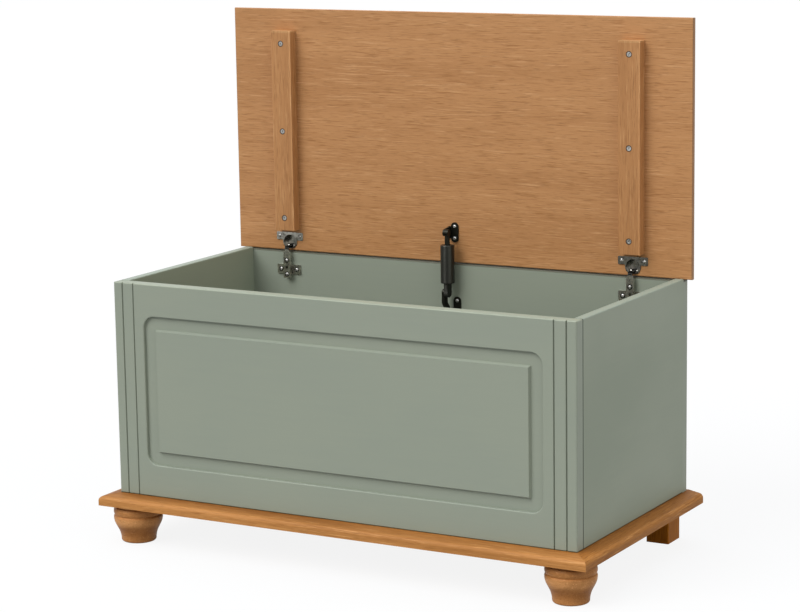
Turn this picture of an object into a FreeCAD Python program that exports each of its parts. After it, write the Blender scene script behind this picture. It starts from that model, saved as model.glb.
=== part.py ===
import FreeCAD, Part
import math
import os

V = FreeCAD.Vector

# Painted walls
carcass_width = 850.0
carcass_depth = 424.0
wall_height = 360.0
front_thickness = 22.0
side_thickness = 16.0
back_thickness = 16.0
back_drop = 2.85
back_edge_round = 0.8
rim_round = 2.0
foot_edge_round = 1.8
base_thickness = 12.0
base_clearance = 0.4

# Front corner posts and the V-joints on both sides of them
post_width = 38.8
post_corner_round = 3.0
joint_half_width = 1.3
joint_depth = 3.0
groove_offset = 17.6
groove_width = 2.8
groove_depth = 3.0

# Channel routed round the field of the front board
channel_side_inset = 58.0
channel_end_inset = 54.0
channel_width = 24.0
channel_depth = 5.5
channel_corner_round = 20.0
channel_edge_round = 1.8
field_slope_width = 2.5

# Moulded plinth frame
plinth_thickness = 20.0
plinth_overhang = 27.0
plinth_rear_overhang = 8.0
plinth_rail_width = 85.0
plinth_nose_round = 8.0
plinth_nose_flat = 8.5
plinth_ledge = 1.5

# Turned front feet, given as radius and height above the floor
foot_height = 65.0
foot_inset = 47.5
foot_sole_radius = 26.0
foot_heel_radius = 29.4
foot_heel_height = 4.0
foot_waist_radius = 30.54
foot_waist_height = 12.28
foot_taper_radius = 33.2
foot_taper_height = 20.2
foot_shoulder_radius = 38.0
foot_shoulder_height = 29.5
foot_swell_radius = 40.54
foot_swell_height = 35.94
foot_belly_radius = 41.4
foot_belly_height = 42.8
foot_lip_radius = 40.8
foot_lip_height = 44.83
foot_quirk_radius = 39.2
foot_quirk_height = 46.2
foot_ring_height = 12.8
foot_collar_radius = 36.0

# Square rear feet
rear_foot_width = 40.0
rear_foot_depth = 48.0
rear_foot_inset = 62.0
rear_foot_chamfer = 2.0

# Lid and its two battens
lid_thickness = 16.0
lid_side_overhang = 13.0
lid_front_overhang = 2.5
lid_rear_overhang = 1.5
lid_edge_round = 9.0
lid_arris = 1.0
lid_hinge_round = 2.0
lid_rest_gap = 0.3
lid_open_gap = -1.4
lid_open_setback = 4.0
batten_width = 40.0
batten_thickness = 18.0
batten_start = 38.0
batten_end_margin = 38.0
batten_round = 2.0
batten_screw_margin = 22.0
batten_screw_count = 3

# Cranked cup hinges
hinge_inset = 92.0
cup_radius = 13.0
cup_depth = 12.6
cup_wall = 0.8
cup_edge_distance = 2.8
cup_fit = 0.1
flange_thickness = 1.2
flange_lip = 1.3
flange_edge_distance = 3.8
flange_half_height = 7.0
flange_width = 54.0
flange_corner_round = 2.0
flange_screw_spacing = 40.0
flange_screw_offset = 9.5
pin_radius = 1.1
pin_fit = 0.06
lug_thickness = 2.2
lug_radius = 2.6
lug_gap = 0.3
arm_width = 13.5
arm_projection = 9.5
arm_web = 1.5
arm_wall_lift = 2.6
arm_low_end = 49.5
arm_shoulder = 3.0
arm_shoulder_run = 2.5
neck_width = 8.0
neck_thickness = 2.5
neck_bend = 3.0
eye_radius = 2.1
plate_thickness = 2.2
plate_wing_width = 48.0
plate_wing_height = 17.0
plate_corner_round = 1.5
plate_drop = 35.0
plate_screw_spacing = 32.0
boss_low_end = 47.5
boss_high_end = 9.0
arm_side_clearance = 0.2
arm_screw_drops = (18.0, 43.0)
arm_hole_drop = 30.5
arm_hole_radius = 2.4

# Folding lid stay
stay_axis_offset = -5.0
stay_pivot_from_edge = 54.0
stay_pivot_standoff = 20.0
stay_upper_length = 103.5
stay_lower_length = 51.0
stay_base_standoff = 15.0
stay_eye_radius = 6.0
stay_tongue_thickness = 7.0
stay_tongue_run = 10.0
stay_rod_radius = 4.5
stay_barrel_radius = 12.0
stay_barrel_length = 66.0
stay_barrel_start = 21.0
stay_barrel_bore_depth = 18.0
stay_barrel_round = 1.5
stay_nose_radius = 8.5
stay_nose_flat = 16.0
stay_side_gap = 0.3
stay_arm_thickness = 5.0
stay_arm_eye_radius = 6.0
stay_arm_foot_radius = 7.5
stay_arm_crank_start = 18.0
stay_arm_crank_end = 33.0
stay_arm_crank_shift = 7.0
stay_lug_thickness = 2.5
stay_plate_thickness = 2.0
stay_plate_radius = 7.0
stay_plate_reach = 11.0
stay_base_plate_reach = 6.8
stay_pin_radius = 2.0
stay_pin_fit = 0.05
stay_pin_head_radius = 3.6
stay_pin_head_height = 1.2
stay_lid_screw_start = 42.0
stay_lid_screw_pitch = 20.8
stay_base_screw_drop = 67.0
stay_base_screw_pitch = 34.0

# Fasteners hidden in the joints, and screws
dowel_radius = 4.0
dowel_length = 30.0
dowel_count = 4
dowel_end_margin = 60.0
long_screw_length = 50.0
sunk_head_radius = 4.0
sunk_screw_radius = 2.0
rear_screw_count = 3
plinth_screw_inset = 165.0
plinth_screw_end_margin = 112.0
foot_bolt_radius = 4.0
foot_bolt_grip = 30.0
foot_bolt_entry = 14.0
batten_screw_length = 30.0
batten_screw_sink = 0.4
short_screw_length = 13.0
short_screw_radius = 1.75
pan_head_radius = 3.2
pan_head_height = 1.8
arm_screw_length = 6.0
hole_fit = 0.1
hole_end_room = 1.0

# Levels and planes worked out from the sizes above
plinth_depth = plinth_overhang + carcass_depth + plinth_rear_overhang
half_width = carcass_width / 2
plinth_half = half_width + plinth_overhang
plinth_front_y = -plinth_depth / 2
plinth_back_y = plinth_depth / 2
front_y = plinth_front_y + plinth_overhang
front_inner_y = front_y + front_thickness
back_y = front_y + carcass_depth
back_inner_y = back_y - back_thickness
deck_z = foot_height + plinth_thickness
rim_z = deck_z + wall_height
lid_under_z = rim_z + lid_rest_gap
lid_back_y = back_y + lid_rear_overhang
lid_width = carcass_width + 2 * lid_side_overhang
lid_depth = lid_rear_overhang + carcass_depth + lid_front_overhang
batten_length = lid_depth - batten_start - batten_end_margin
hinge_offset = half_width - hinge_inset

# The pin stands where a quarter turn carries the closed lid to its open place
hinge_reach = back_thickness + lid_rear_overhang
pin_u = (lid_rest_gap - lid_open_setback - lid_open_gap - hinge_reach) / 2
pin_v = (lid_rest_gap - lid_open_setback + lid_open_gap + hinge_reach) / 2
pin_from_edge = hinge_reach + pin_u
pin_depth = pin_v - lid_rest_gap

x_axis = V(1, 0, 0)
y_axis = V(0, 1, 0)
z_axis = V(0, 0, 1)
origin = V(0, 0, 0)


# Point near the hinge line: u runs from the back board into the box, v up from the rim
def uv(u, v, x=0.0):
    return V(x, back_inner_y - u, rim_z + v)


# Point under the closed lid: s runs forward from the hinge edge, h down from the underside
def under_lid(s, h, x=0.0):
    return V(x, lid_back_y - s, lid_under_z - h)


# Point of a turned outline: radius and distance along the axis
def rt(radius, along):
    return V(radius, 0, along)


pin_point = uv(pin_u, pin_v)


# Closed flat outline: a point draws a line to it, a pair draws an arc through the first to the second
def closed_face(steps):
    edges = []
    here = steps[0]
    for step in steps[1:] + [steps[0]]:
        if isinstance(step, tuple):
            edges.append(Part.Arc(here, step[0], step[1]).toShape())
            here = step[1]
        elif step.distanceToPoint(here) > 1e-6:
            edges.append(Part.makeLine(here, step))
            here = step
    return Part.Face(Part.Wire(edges))


# Middle of a quarter round that turns the corner between two points
def round_middle(corner, start, end):
    away = (start - corner) + (end - corner)
    return corner + away * (1 - math.sqrt(0.5))


# Four-sided outline whose corners are rounded by one radius each, zero leaving a sharp corner
def rounded_face(corners, radii):
    steps = []
    count = len(corners)
    for i, corner in enumerate(corners):
        before = corners[i - 1] - corner
        after = corners[(i + 1) % count] - corner
        start = corner + before.normalize() * radii[i]
        end = corner + after.normalize() * radii[i]
        steps.append(start)
        if radii[i] > 0:
            steps.append((round_middle(corner, start, end), end))
    return closed_face(steps)


def turned(steps, base, direction):
    solid = closed_face(steps).revolve(origin, z_axis, 360)
    solid.Placement = FreeCAD.Placement(base, FreeCAD.Rotation(z_axis, direction))
    return solid


def rod(radius, base, direction, length):
    return Part.makeCylinder(radius, length, base, direction)


def block(x0, x1, y0, y1, z0, z1):
    return Part.makeBox(x1 - x0, y1 - y0, z1 - z0, V(x0, y0, z0))


def cut(shape, tools):
    return shape.cut(Part.makeCompound(tools)).removeSplitter()


def fuse(shapes):
    return shapes[0].multiFuse(shapes[1:]).removeSplitter()


def mirrored(shape):
    return shape.mirror(origin, x_axis)


def both_sides(shapes):
    return shapes + [mirrored(shape) for shape in shapes]


def opened(shape):
    turn = shape.copy()
    turn.rotate(pin_point, x_axis, -90)
    return turn


def opened_point(point):
    arm = point - pin_point
    return V(point.x, pin_point.y + arm.z, pin_point.z - arm.y)


def spread(count, first, last):
    return [first + (last - first) * i / (count - 1) for i in range(count)]


# Countersunk wood screw, or with a fit its hole, from the middle of its head along its way in
def sunk_screw(base, direction, length, fit):
    wide = sunk_head_radius + fit
    thin = sunk_screw_radius + fit
    end = length + (hole_end_room if fit else 0.0)
    steps = [rt(0, 0), rt(wide, 0), rt(thin, wide - thin), rt(thin, end - thin)]
    return turned(steps + [rt(0, end)], base, direction)


# Screw whose head is a cap of a ball and stands on the surface at its base
def pan_screw(base, direction, length):
    ball = (pan_head_radius ** 2 + pan_head_height ** 2) / (2 * pan_head_height)
    slope = math.asin(pan_head_radius / ball) / 2
    crown = rt(ball * math.sin(slope), ball - pan_head_height - ball * math.cos(slope))
    tip = short_screw_radius
    steps = [rt(0, length), rt(tip, length - tip), rt(tip, 0), rt(pan_head_radius, 0)]
    return turned(steps + [(crown, rt(0, -pan_head_height))], base, direction)


def screw_hole(base, direction, length):
    return rod(short_screw_radius + hole_fit, base, direction, length)


def pilot_hole(base, direction, length):
    return screw_hole(base, direction, length + hole_end_room)


# Places of the joints' fasteners
dowel_heights = spread(dowel_count, deck_z + dowel_end_margin, rim_z - dowel_end_margin)
rear_screw_heights = spread(rear_screw_count, deck_z + dowel_end_margin, rim_z - dowel_end_margin)
side_mid_x = half_width - side_thickness / 2
front_mid_y = front_y + front_thickness / 2
back_mid_y = back_y - back_thickness / 2
post_inner_x = half_width - post_width


def corner_dowels(fit=0.0):
    room = hole_end_room if fit else 0.0
    half = dowel_length / 2 + room
    solids = []
    for z in dowel_heights:
        solids.append(rod(dowel_radius + fit, V(post_inner_x - half, front_mid_y, z), x_axis, 2 * half))
        solids.append(rod(dowel_radius + fit, V(side_mid_x, front_inner_y - half, z), y_axis, 2 * half))
    return both_sides(solids)


def rear_screws(fit=0.0):
    solids = []
    for z in rear_screw_heights:
        base = V(side_mid_x, back_y, z)
        solids.append(sunk_screw(base, -y_axis, long_screw_length, fit))
    return both_sides(solids)


def plinth_screws(fit=0.0):
    reach = half_width - plinth_screw_inset
    places = [(x, y) for x in (-reach, 0, reach) for y in (front_mid_y, back_mid_y)]
    for y in (front_y + plinth_screw_end_margin, back_y - plinth_screw_end_margin):
        places += [(side_mid_x, y), (-side_mid_x, y)]
    solids = []
    for x, y in places:
        base = V(x, y, foot_height)
        solids.append(sunk_screw(base, z_axis, long_screw_length, fit))
    return solids


front_foot_x = plinth_half - foot_inset
front_foot_y = plinth_front_y + foot_inset
rear_foot_x = plinth_half - rear_foot_inset
rear_foot_y = plinth_back_y - rear_foot_depth / 2


def foot_bolts(fit=0.0):
    room = hole_end_room if fit else 0.0
    length = foot_bolt_grip + foot_bolt_entry + 2 * room
    solids = []
    for x, y in ((front_foot_x, front_foot_y), (rear_foot_x, rear_foot_y)):
        base = V(x, y, foot_height - foot_bolt_grip - room)
        solids.append(rod(foot_bolt_radius + fit, base, z_axis, length))
    return both_sides(solids)


# Wall blanks with softened top edges
def front_section(x0, x1):
    corners = [V(x0, front_y, deck_z), V(x0, front_inner_y, deck_z)]
    corners += [V(x0, front_inner_y, rim_z), V(x0, front_y, rim_z)]
    return rounded_face(corners, [foot_edge_round, 0, rim_round, rim_round]).extrude(V(x1 - x0, 0, 0))


def side_section(inner_x, y0, y1, inner_round):
    corners = [V(inner_x, y0, deck_z), V(half_width, y0, deck_z)]
    corners += [V(half_width, y0, rim_z), V(inner_x, y0, rim_z)]
    return rounded_face(corners, [0, foot_edge_round, rim_round, inner_round]).extrude(V(0, y1 - y0, 0))


def front_panel():
    x = post_inner_x
    lip = x - joint_half_width
    near = [V(-x, front_y + joint_depth, deck_z), V(-lip, front_y, deck_z), V(lip, front_y, deck_z)]
    far = [V(x, front_y + joint_depth, deck_z), V(x, front_inner_y, deck_z), V(-x, front_inner_y, deck_z)]
    blank = closed_face(near + far).extrude(V(0, 0, wall_height)).common(front_section(-x, x))

    def channel_corners(inset, y):
        side = half_width - channel_side_inset - inset
        low = deck_z + channel_end_inset + inset
        high = rim_z - channel_end_inset - inset
        return [V(-side, y, low), V(side, y, low), V(side, y, high), V(-side, y, high)]

    outer = rounded_face(channel_corners(0, front_y), [channel_corner_round] * 4)
    floor_corners = channel_corners(channel_width - field_slope_width, front_y + channel_depth)
    field_corners = channel_corners(channel_width, front_y)
    rings = [Part.makePolygon(corners + corners[:1]) for corners in (floor_corners, field_corners)]
    routed = blank.cut(outer.extrude(V(0, channel_depth, 0)).cut(Part.makeLoft(rings, True, True)))
    rims = []
    for edge in routed.Edges:
        span = edge.BoundBox
        on_face = abs(span.YMax - front_y) < 1e-3 and abs(span.YMin - front_y) < 1e-3
        in_board = span.ZMin > deck_z + rim_round and span.ZMax < rim_z - rim_round
        beside_field = span.XMax < field_corners[1].x + 1 and span.XMin > field_corners[0].x - 1
        low_end = span.ZMin > field_corners[0].z - 1
        within_field = beside_field and low_end and span.ZMax < field_corners[2].z + 1
        if on_face and in_board and not within_field:
            rims.append(edge)
    softened = routed.makeFillet(channel_edge_round, rims)
    return cut(softened, corner_dowels(hole_fit) + plinth_screws(hole_fit))


def right_corner_post():
    x = half_width
    r = post_corner_round
    groove = x - groove_offset
    bend_start = V(x - r, front_y, deck_z)
    bend_end = V(x, front_y + r, deck_z)
    bend = (round_middle(V(x, front_y, deck_z), bend_start, bend_end), bend_end)
    steps = [V(post_inner_x, front_inner_y, deck_z), V(post_inner_x, front_y + joint_depth, deck_z)]
    steps.append(V(post_inner_x + joint_half_width, front_y, deck_z))
    steps.append(V(groove - groove_width / 2, front_y, deck_z))
    steps += [V(groove, front_y + groove_depth, deck_z), V(groove + groove_width / 2, front_y, deck_z)]
    steps += [bend_start, bend, V(x, front_inner_y - joint_half_width, deck_z)]
    steps.append(V(x - joint_depth, front_inner_y, deck_z))
    blank = closed_face(steps).extrude(V(0, 0, wall_height))
    blank = blank.common(front_section(post_inner_x, x))
    blank = blank.common(side_section(post_inner_x, front_y, front_inner_y, 0))
    return cut(blank, corner_dowels(hole_fit))


def right_side_panel():
    x = half_width
    inner = x - side_thickness
    steps = [V(inner, front_inner_y, deck_z), V(x - joint_depth, front_inner_y, deck_z)]
    steps.append(V(x, front_inner_y + joint_half_width, deck_z))
    steps += [V(x, back_inner_y, deck_z), V(inner, back_inner_y, deck_z)]
    blank = closed_face(steps).extrude(V(0, 0, wall_height))
    blank = blank.common(side_section(inner, front_inner_y, back_inner_y, rim_round))
    return cut(blank, corner_dowels(hole_fit) + rear_screws(hole_fit) + plinth_screws(hole_fit))


def back_panel():
    x = half_width
    top = rim_z - back_drop
    corners = [V(-x, back_inner_y, deck_z), V(-x, back_y, deck_z)]
    corners += [V(-x, back_y, top), V(-x, back_inner_y, top)]
    blank = rounded_face(corners, [0, 0, back_edge_round, rim_round]).extrude(V(carcass_width, 0, 0))
    pilots = [pilot_hole(uv(0, -plate_drop, x), y_axis, short_screw_length) for x in hinge_plate_screw_xs]
    pilots += [pilot_hole(point, y_axis, short_screw_length) for point in stay_base_screw_points()]
    return cut(blank, rear_screws(hole_fit) + plinth_screws(hole_fit) + pilots)


def base_panel():
    x = half_width - side_thickness - base_clearance
    near = front_inner_y + base_clearance
    far = back_inner_y - base_clearance
    return block(-x, x, near, far, deck_z, deck_z + base_thickness)


# Plinth section: s runs outward from the wall's face
def plinth_face(place):
    inner = plinth_overhang - plinth_rail_width
    nose_s = plinth_overhang - plinth_nose_round
    nose_z = foot_height + plinth_nose_flat
    fall = math.atan2(deck_z - nose_z - plinth_nose_round, nose_s - plinth_ledge)
    turn = math.pi / 2 - fall

    def nose(angle):
        r = plinth_nose_round
        return place(nose_s + r * math.cos(angle), nose_z + r * math.sin(angle))

    steps = [place(inner, foot_height), place(plinth_overhang, foot_height)]
    steps += [nose(0), (nose(turn / 2), nose(turn))]
    return closed_face(steps + [place(plinth_ledge, deck_z), place(inner, deck_z)])


# Plan of a rail as a prism, which cuts its mitred ends
def plinth_plan(points):
    face = closed_face([V(x, y, foot_height) for x, y in points])
    return face.extrude(V(0, 0, plinth_thickness))


def plinth_drilled(rail):
    return cut(rail, plinth_screws(hole_fit) + foot_bolts(hole_fit))


mitre_x = plinth_half - plinth_rail_width
mitre_y = plinth_front_y + plinth_rail_width


def plinth_front_moulding():
    length = V(2 * plinth_half, 0, 0)
    bar = plinth_face(lambda s, z: V(-plinth_half, front_y - s, z)).extrude(length)
    outline = [(-plinth_half, plinth_front_y), (plinth_half, plinth_front_y)]
    outline += [(mitre_x, mitre_y), (-mitre_x, mitre_y)]
    return plinth_drilled(bar.common(plinth_plan(outline)))


def plinth_right_moulding():
    bar = plinth_face(lambda s, z: V(half_width + s, plinth_front_y, z)).extrude(V(0, plinth_depth, 0))
    outline = [(plinth_half, plinth_front_y), (plinth_half, plinth_back_y)]
    outline += [(mitre_x, plinth_back_y), (mitre_x, mitre_y)]
    return plinth_drilled(bar.common(plinth_plan(outline)))


def plinth_rear_rail():
    near = plinth_back_y - plinth_rail_width
    return plinth_drilled(block(-mitre_x, mitre_x, near, plinth_back_y, foot_height, deck_z))


def front_right_bun_foot():
    ring_top = foot_quirk_height + foot_ring_height
    steps = [rt(0, 0), rt(foot_sole_radius, 0)]
    sole = rt(foot_sole_radius, 0)
    heel = rt(foot_heel_radius, foot_heel_height)
    steps.append((round_middle(rt(foot_heel_radius, 0), sole, heel), heel))
    steps.append((rt(foot_waist_radius, foot_waist_height), rt(foot_taper_radius, foot_taper_height)))
    steps.append(rt(foot_shoulder_radius, foot_shoulder_height))
    steps.append((rt(foot_swell_radius, foot_swell_height), rt(foot_belly_radius, foot_belly_height)))
    steps.append((rt(foot_lip_radius, foot_lip_height), rt(foot_quirk_radius, foot_quirk_height)))
    ring_middle = rt(foot_belly_radius, foot_quirk_height + foot_ring_height / 2)
    steps.append((ring_middle, rt(foot_quirk_radius, ring_top)))
    steps += [rt(foot_collar_radius, ring_top), rt(foot_collar_radius, foot_height), rt(0, foot_height)]
    return cut(turned(steps, V(front_foot_x, front_foot_y, 0), z_axis), foot_bolts(hole_fit))


def rear_right_block_foot():
    x = rear_foot_width / 2
    near = plinth_back_y - rear_foot_depth
    corners = [V(rear_foot_x - x, near, 0), V(rear_foot_x + x, near, 0)]
    corners += [V(rear_foot_x + x, plinth_back_y, 0), V(rear_foot_x - x, plinth_back_y, 0)]
    blank = rounded_face(corners, [rear_foot_chamfer] * 4).extrude(V(0, 0, foot_height))
    return cut(blank, foot_bolts(hole_fit))


# Places left and right of each hinge's middle
def hinge_pair_xs(spacing):
    return [side * hinge_offset + way * spacing / 2 for side in (-1, 1) for way in (-1, 1)]


# Lid pieces are drawn closed and then turned open about the pin
cup_centre_s = cup_edge_distance + cup_radius
flange_screw_s = cup_centre_s + flange_screw_offset
flange_screw_xs = hinge_pair_xs(flange_screw_spacing)
batten_screw_ss = spread(batten_screw_count, batten_start + batten_screw_margin,
                         batten_start + batten_length - batten_screw_margin)
stay_lid_screw_ss = [stay_lid_screw_start, stay_lid_screw_start + stay_lid_screw_pitch]


def batten_screws(fit=0.0):
    base_h = batten_thickness - batten_screw_sink
    solids = []
    for s in batten_screw_ss:
        base = under_lid(s, base_h, hinge_offset)
        solids.append(sunk_screw(base, z_axis, batten_screw_length, fit))
        if fit:
            solids.append(rod(sunk_head_radius + fit, base, -z_axis, 2 * batten_screw_sink))
    return both_sides(solids)


def lid_panel():
    x = lid_width / 2
    front = lid_back_y - lid_depth
    top = lid_under_z + lid_thickness
    across = [V(-x, front, lid_under_z), V(x, front, lid_under_z), V(x, front, top), V(-x, front, top)]
    soft = [lid_arris, lid_arris, lid_edge_round, lid_edge_round]
    blank = rounded_face(across, soft).extrude(V(0, lid_depth, 0))
    along = [V(-x, lid_back_y, lid_under_z), V(-x, front, lid_under_z)]
    along += [V(-x, front, top), V(-x, lid_back_y, top)]
    soft = [lid_hinge_round, lid_arris, lid_edge_round, lid_arris]
    blank = blank.common(rounded_face(along, soft).extrude(V(lid_width, 0, 0)))
    mouth = under_lid(cup_centre_s, 0, hinge_offset)
    bores = both_sides([rod(cup_radius + cup_fit, mouth, z_axis, cup_depth + cup_fit)])
    starts = [under_lid(flange_screw_s, 0, x) for x in flange_screw_xs]
    starts += [under_lid(s, 0, stay_plate_x) for s in stay_lid_screw_ss]
    pilots = [pilot_hole(start, z_axis, short_screw_length) for start in starts]
    return opened(cut(blank, bores + pilots + batten_screws(hole_fit)))


def right_lid_batten():
    x0 = hinge_offset - batten_width / 2
    x1 = hinge_offset + batten_width / 2
    base = under_lid(batten_start, 0)
    corners = [V(x0, base.y, base.z), V(x1, base.y, base.z)]
    corners += [V(x1, base.y, base.z - batten_thickness), V(x0, base.y, base.z - batten_thickness)]
    blank = rounded_face(corners, [0, 0, batten_round, batten_round]).extrude(V(0, -batten_length, 0))
    return opened(cut(blank, batten_screws(hole_fit)))


# Hinge cup: a thin pressed shell with a winged flange, and two lugs that hold the pin
def right_hinge_cup():
    mouth = under_lid(cup_centre_s, 0, hinge_offset)
    inside = cup_radius - cup_wall
    shell = rod(cup_radius, mouth, z_axis, cup_depth)
    ring_radius = cup_radius + flange_lip
    ring = rod(ring_radius, mouth, -z_axis, flange_thickness)
    ring_end = under_lid(flange_edge_distance, flange_thickness)
    ring = ring.common(Part.makeBox(2 * ring_radius, 2 * ring_radius, flange_thickness,
                                    V(hinge_offset - ring_radius, ring_end.y - 2 * ring_radius, ring_end.z)))
    left = hinge_offset - flange_width / 2
    right = hinge_offset + flange_width / 2
    near = flange_screw_s - flange_half_height
    far = flange_screw_s + flange_half_height
    corners = [under_lid(near, 0, left), under_lid(near, 0, right)]
    corners += [under_lid(far, 0, right), under_lid(far, 0, left)]
    bar = rounded_face(corners, [flange_corner_round] * 4).extrude(V(0, 0, -flange_thickness))
    body = fuse([shell, ring, bar])
    hollow = rod(inside, mouth - z_axis * flange_thickness, z_axis, cup_depth + flange_thickness - cup_wall)
    body = body.cut(hollow)
    pin = under_lid(pin_from_edge, -pin_depth, hinge_offset)
    lugs = []
    for side in (-1, 1):
        start = neck_width / 2 + lug_gap
        near = pin + x_axis * (side * start)
        round_end = rod(lug_radius, near, x_axis * side, lug_thickness)
        root = Part.makeBox(lug_thickness, 2 * lug_radius, cup_depth - pin_depth,
                            V(min(near.x, near.x + side * lug_thickness), pin.y - lug_radius, pin.z))
        lugs.append(fuse([round_end, root]).common(rod(inside + cup_wall / 2, mouth, z_axis, cup_depth)))
    body = fuse([body] + lugs)
    holes = [rod(pin_radius, pin - x_axis * neck_width, x_axis, 2 * neck_width)]
    holes += [screw_hole(under_lid(flange_screw_s, 0, x), -z_axis, flange_thickness) for x in flange_screw_xs]
    return opened(cut(body, holes))


def right_hinge_pin():
    half = neck_width / 2 + lug_gap + lug_thickness
    pin = under_lid(pin_from_edge, -pin_depth, hinge_offset)
    return opened(rod(pin_radius, pin - x_axis * half, x_axis, 2 * half))


# Hinge arm: a channel over the plate's boss whose web runs up and over the back board as a cranked neck
def right_hinge_arm():
    web_u = arm_projection - arm_web
    neck_u = arm_projection - neck_thickness
    bend_u = neck_u - neck_bend
    high = pin_v + neck_thickness / 2
    low = pin_v - neck_thickness / 2
    bend_v = low - neck_bend
    outer = neck_bend + neck_thickness
    diagonal = math.sqrt(0.5)
    x0 = hinge_offset - arm_width / 2


    # Middle of the crank's quarter bend at one radius
    def bend(radius):
        return uv(bend_u + radius * diagonal, bend_v + radius * diagonal, x0)

    steps = [uv(web_u, -arm_low_end, x0), uv(arm_projection, -arm_low_end, x0)]
    steps.append(uv(arm_projection, bend_v, x0))
    steps.append((bend(outer), uv(bend_u, high, x0)))
    steps += [uv(pin_u, high, x0), uv(pin_u, low, x0), uv(bend_u, low, x0)]
    steps.append((bend(neck_bend), uv(neck_u, bend_v, x0)))
    neck_start = arm_shoulder_run - arm_shoulder
    steps += [uv(neck_u, neck_start, x0), uv(web_u, -arm_shoulder, x0)]
    strip = closed_face(steps).extrude(V(arm_width, 0, 0))
    wide = arm_width / 2
    thin = neck_width / 2
    top = pin_v + arm_projection
    half_outline = [(wide, -arm_low_end), (wide, -arm_shoulder), (thin, neck_start), (thin, top)]
    outline = [uv(pin_u - arm_width, v, hinge_offset + x) for x, v in half_outline]
    outline += [uv(pin_u - arm_width, v, hinge_offset - x) for x, v in reversed(half_outline)]
    strip = strip.common(closed_face(outline).extrude(V(0, -3 * arm_width - arm_projection, 0)))
    eye = rod(eye_radius, uv(pin_u, pin_v, hinge_offset - thin), x_axis, neck_width)
    walls = []
    for side in (-1, 1):
        x = hinge_offset + side * wide
        corners = [uv(arm_wall_lift, -arm_shoulder, x), uv(arm_projection, -arm_shoulder, x)]
        corners += [uv(arm_projection, -arm_low_end, x), uv(arm_wall_lift, -arm_low_end, x)]
        soft = arm_projection - arm_wall_lift - arm_web
        walls.append(rounded_face(corners, [soft, 0, 0, soft]).extrude(V(-side * arm_web, 0, 0)))
    arm = fuse([strip, eye] + walls)
    holes = [rod(pin_radius + pin_fit, uv(pin_u, pin_v, hinge_offset - wide), x_axis, arm_width)]
    for drop in arm_screw_drops:
        holes.append(screw_hole(uv(arm_projection, -drop, hinge_offset), y_axis, arm_web))
    holes.append(rod(arm_hole_radius, uv(arm_projection, -arm_hole_drop, hinge_offset), y_axis, arm_web))
    return cut(arm, holes)


def right_hinge_plate():
    def pad(half, low, high, height):
        left = hinge_offset - half
        right = hinge_offset + half
        corners = [uv(0, low, left), uv(0, low, right), uv(0, high, right), uv(0, high, left)]
        return rounded_face(corners, [plate_corner_round] * 4).extrude(V(0, -height, 0))

    wing = plate_wing_height / 2
    wings = pad(plate_wing_width / 2, -plate_drop - wing, -plate_drop + wing, plate_thickness)
    boss_height = arm_projection - arm_web
    boss_half = arm_width / 2 - arm_web - arm_side_clearance
    boss = pad(boss_half, -boss_low_end, -boss_high_end, boss_height)
    wing_points = [uv(0, -plate_drop, x) for x in hinge_plate_screw_xs]
    boss_points = [uv(0, -drop, hinge_offset) for drop in arm_screw_drops]
    holes = [screw_hole(point, -y_axis, plate_thickness) for point in wing_points]
    holes += [screw_hole(point, -y_axis, boss_height) for point in boss_points]
    holes.append(rod(arm_hole_radius, uv(0, -arm_hole_drop, hinge_offset), -y_axis, boss_height))
    return cut(fuse([wings, boss]), holes)


hinge_plate_screw_xs = hinge_pair_xs(plate_screw_spacing)

# Stay pivots in the open pose, and the layers in which its links pass each other
stay_top = opened_point(under_lid(stay_pivot_from_edge, stay_pivot_standoff, stay_axis_offset))
stay_top_u = back_inner_y - stay_top.y
stay_top_v = stay_top.z - rim_z
elbow_v = stay_top_v - stay_upper_length
stay_base_v = elbow_v - math.sqrt(stay_lower_length ** 2 - (stay_top_u - stay_base_standoff) ** 2)
tongue_low_x = stay_axis_offset - stay_tongue_thickness / 2
tongue_high_x = stay_axis_offset + stay_tongue_thickness / 2
arm_eye_x = tongue_low_x - stay_side_gap - stay_arm_thickness
arm_foot_x = arm_eye_x + stay_arm_crank_shift
base_lug_x = arm_foot_x + stay_arm_thickness + stay_side_gap
lid_lug_x = tongue_low_x - stay_side_gap - stay_lug_thickness
stay_plate_x = lid_lug_x + stay_plate_reach
stay_base_plate_x = base_lug_x + stay_base_plate_reach


def stay_base_screw_points():
    drops = (stay_base_screw_drop, stay_base_screw_drop + stay_base_screw_pitch)
    return [uv(0, -drop, stay_base_plate_x) for drop in drops]


# Rivet pin along X: head on the low side when its way is positive
def rivet(start, way, length):
    head = rod(stay_pin_head_radius, start, -x_axis * way, stay_pin_head_height)
    return fuse([head, rod(stay_pin_radius, start, x_axis * way, length)])


# Ear that stands off a plate and is rounded round its pivot
def lug(foot_a, foot_b, pivot, across, outward):
    side_a = pivot - across * stay_eye_radius
    side_b = pivot + across * stay_eye_radius
    face = closed_face([foot_a, side_a, (pivot + outward * stay_eye_radius, side_b), foot_b])
    return face.extrude(V(stay_lug_thickness, 0, 0))


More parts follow.
